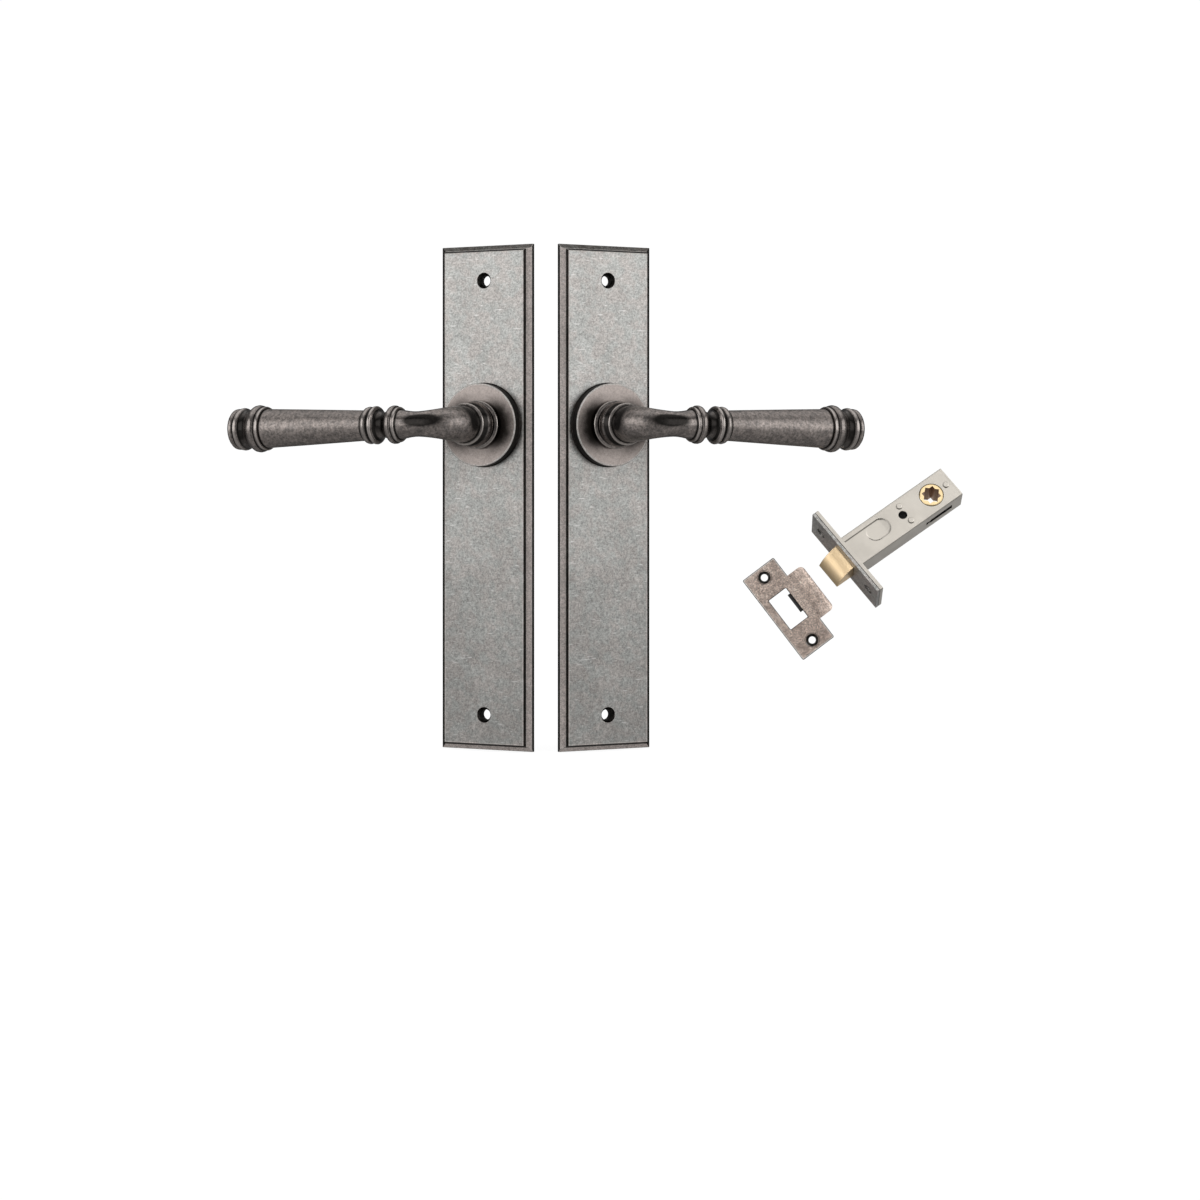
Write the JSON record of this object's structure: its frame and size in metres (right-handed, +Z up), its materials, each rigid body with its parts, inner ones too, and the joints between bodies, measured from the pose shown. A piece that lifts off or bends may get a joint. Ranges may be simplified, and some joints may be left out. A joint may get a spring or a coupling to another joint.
{
  "type": "door lever handle and tubular latch set",
  "caption": "Pair of sprung lever handles on long bevelled backplates, shown with their tubular latch and its strike plate.",
  "frame": {"origin": "midway between the two backplates, at the height of both spindle axes", "axes": "+X to the right across the set, +Y away from the front, +Z up the backplates"},
  "size_m": [0.3882, 0.2393, 0.25],
  "materials": {
    "distressed_nickel_plate": "distressed satin nickel",
    "distressed_nickel_rose": "distressed satin nickel",
    "burnished_nickel_lever": "dark burnished nickel over brass",
    "white_nylon": "plain",
    "zinc_plated_steel": "zinc plated",
    "spring_steel": "oiled",
    "distressed_nickel_front": "distressed satin nickel",
    "satin_nickel_case": "satin nickel",
    "satin_brass_bolt": "satin",
    "brass_follower": "satin",
    "distressed_nickel_strike": "distressed satin nickel",
    "black_polymer": "plain"
  },
  "bodies": {
    "display": {"left_backplate": "distressed_nickel_plate", "left_rose": "distressed_nickel_rose", "left_bush": "white_nylon", "left_return_spring": "spring_steel", "left_dust_cover": "zinc_plated_steel", "right_backplate": "distressed_nickel_plate", "right_rose": "distressed_nickel_rose", "right_bush": "white_nylon", "right_return_spring": "spring_steel", "right_dust_cover": "zinc_plated_steel", "latch_faceplate": "distressed_nickel_front", "latch_forend": "satin_nickel_case", "latch_case_shell": "satin_nickel_case", "latch_case_cover": "satin_nickel_case", "latch_bridge": "zinc_plated_steel", "latch_tail_post": "zinc_plated_steel", "latch_bolt_spring": "spring_steel", "strike_plate": "distressed_nickel_strike", "strike_buffer": "black_polymer"},
    "left_lever": {"left_lever": "burnished_nickel_lever", "left_spring_carrier": "zinc_plated_steel", "left_circlip": "spring_steel"},
    "right_lever": {"right_lever": "burnished_nickel_lever", "right_spring_carrier": "zinc_plated_steel", "right_circlip": "spring_steel"},
    "bolt": {"latch_bolt": "satin_brass_bolt", "latch_drawbar": "zinc_plated_steel"},
    "follower": {"latch_follower": "brass_follower"}
  },
  "joints": [
    {"name": "left_lever_turn", "type": "hinge", "parent": "display", "child": "left_lever", "pos_m": [-0.0284, 0, 0], "axis": [-0.4509, -0.8926, 0], "range_deg": [0, 70], "stiffness_Nm_per_rad": 0.8, "springref_deg": -34.38},
    {"name": "right_lever_turn", "type": "hinge", "parent": "display", "child": "right_lever", "pos_m": [0.0284, 0, 0], "axis": [-0.4509, 0.8926, 0], "range_deg": [0, 70], "stiffness_Nm_per_rad": 0.8, "springref_deg": -34.38},
    {"name": "bolt_slide", "type": "slide", "parent": "display", "child": "bolt", "axis": [0.8144, 0.184, 0.5503], "range_m": [0, 0.0108], "stiffness_N_per_m": 300, "springref_m": -0.012, "deforming": ["latch_bolt_spring"]},
    {"name": "follower_turn", "type": "hinge", "parent": "display", "child": "follower", "pos_m": [0.21177, 0.13594, -0.03828], "axis": [0.0746, 0.9074, -0.4137], "range_deg": [0, 70]}
  ],
  "couplings": [
    {"joint": "follower_turn", "follows": "bolt_slide", "rad_per_m": 113}
  ]
}
